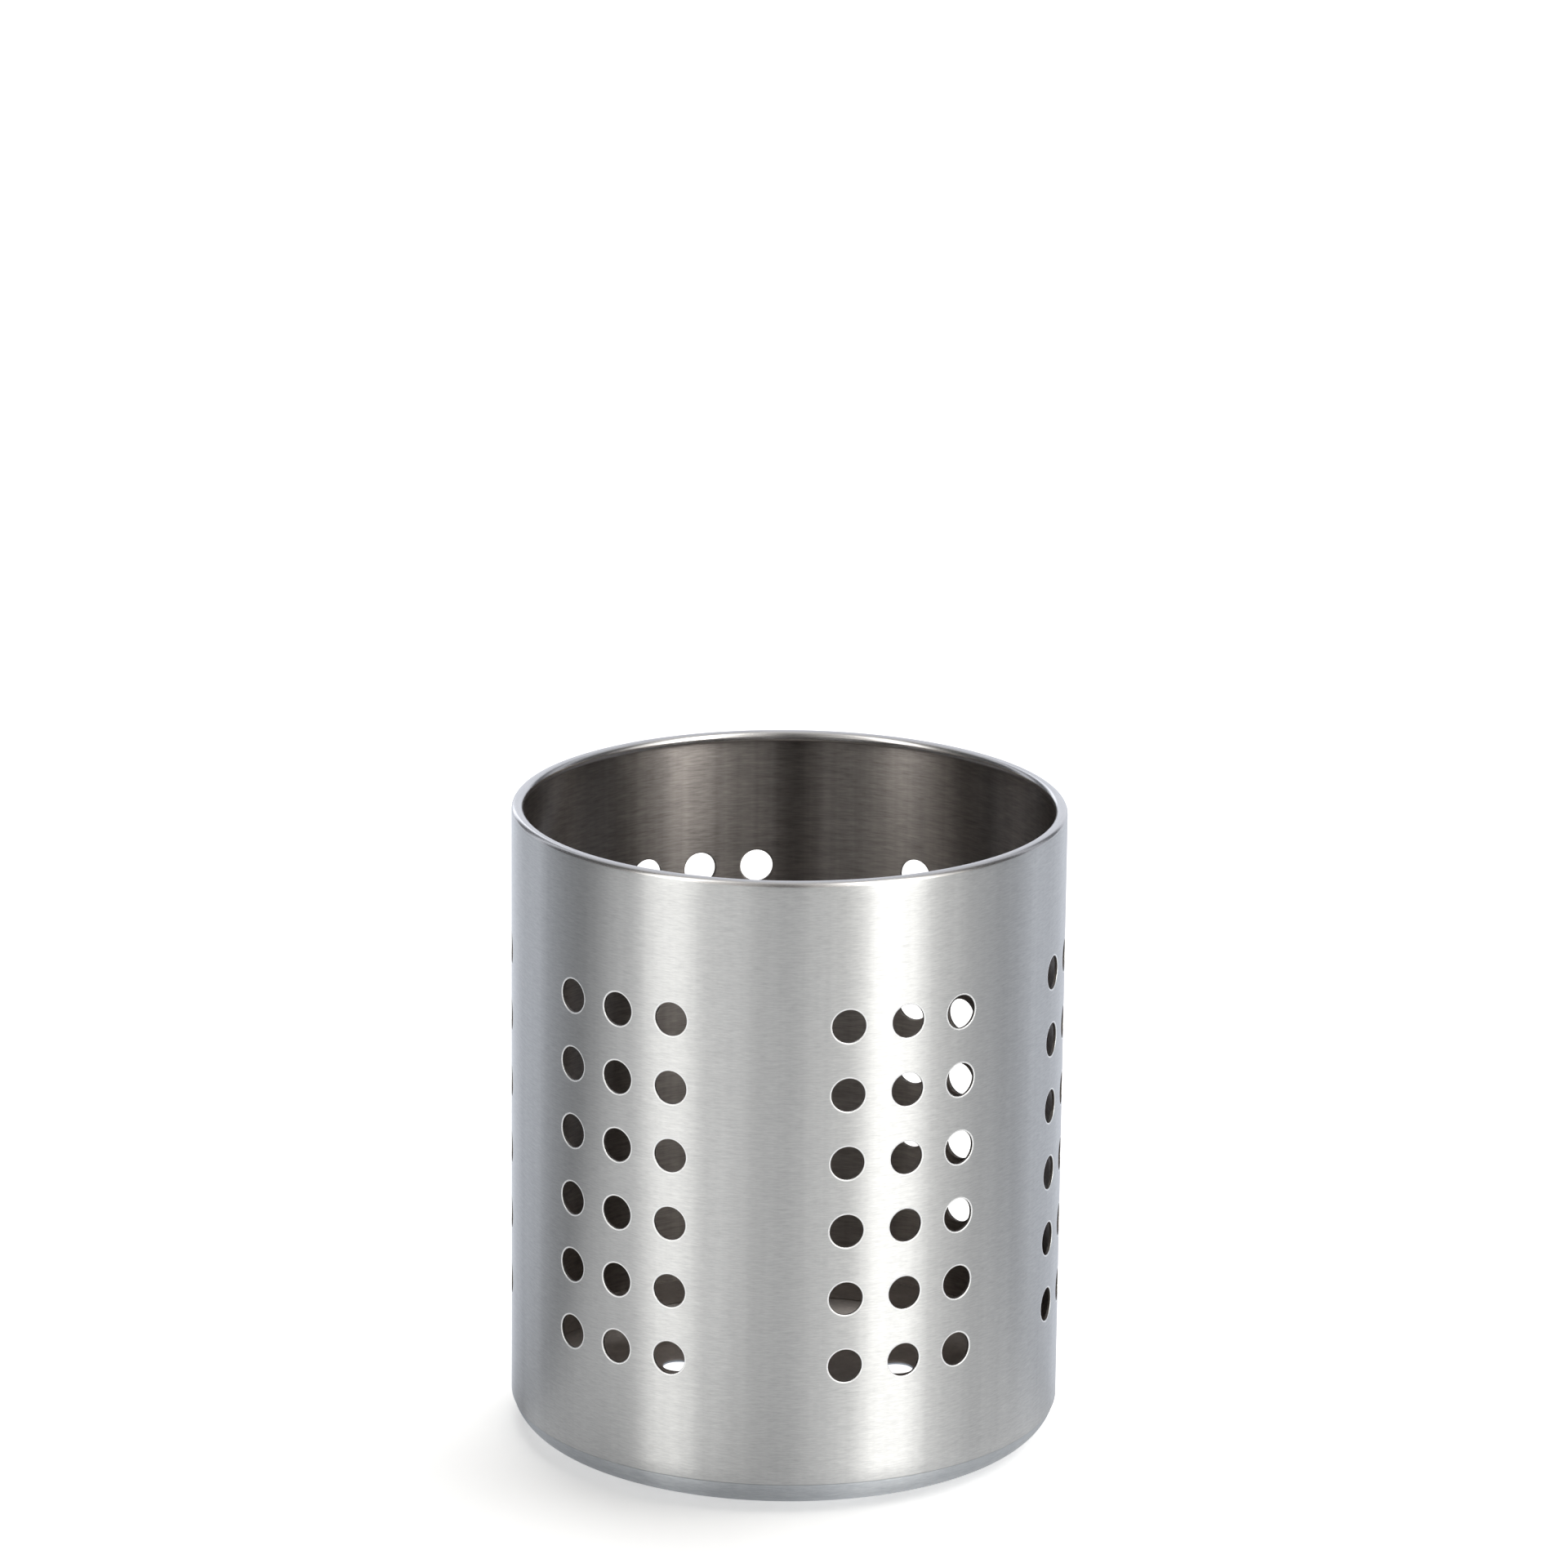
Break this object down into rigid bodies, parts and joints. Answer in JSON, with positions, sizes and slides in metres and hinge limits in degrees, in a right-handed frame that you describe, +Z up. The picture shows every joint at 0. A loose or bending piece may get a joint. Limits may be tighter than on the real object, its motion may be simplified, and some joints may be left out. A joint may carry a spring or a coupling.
{
  "type": "utensil holder",
  "caption": "Round open-topped utensil holder of perforated brushed stainless steel, with a rolled rim and a drained base.",
  "frame": {"origin": "centre of the foot, on the surface that the holder stands on", "axes": "+Z up along the axis of the round body, -Y towards the front of the picture"},
  "size_m": [0.12, 0.12, 0.14],
  "materials": {
    "brushed_steel_wall": "fine brushing that runs round the wall",
    "satin_steel_base": "smooth satin, as drawn"
  },
  "bodies": {
    "root": {"perforated_wall": "brushed_steel_wall", "side_seam_weld": "brushed_steel_wall", "base_pan": "satin_steel_base", "base_seam_weld": "satin_steel_base"}
  },
  "joints": []
}
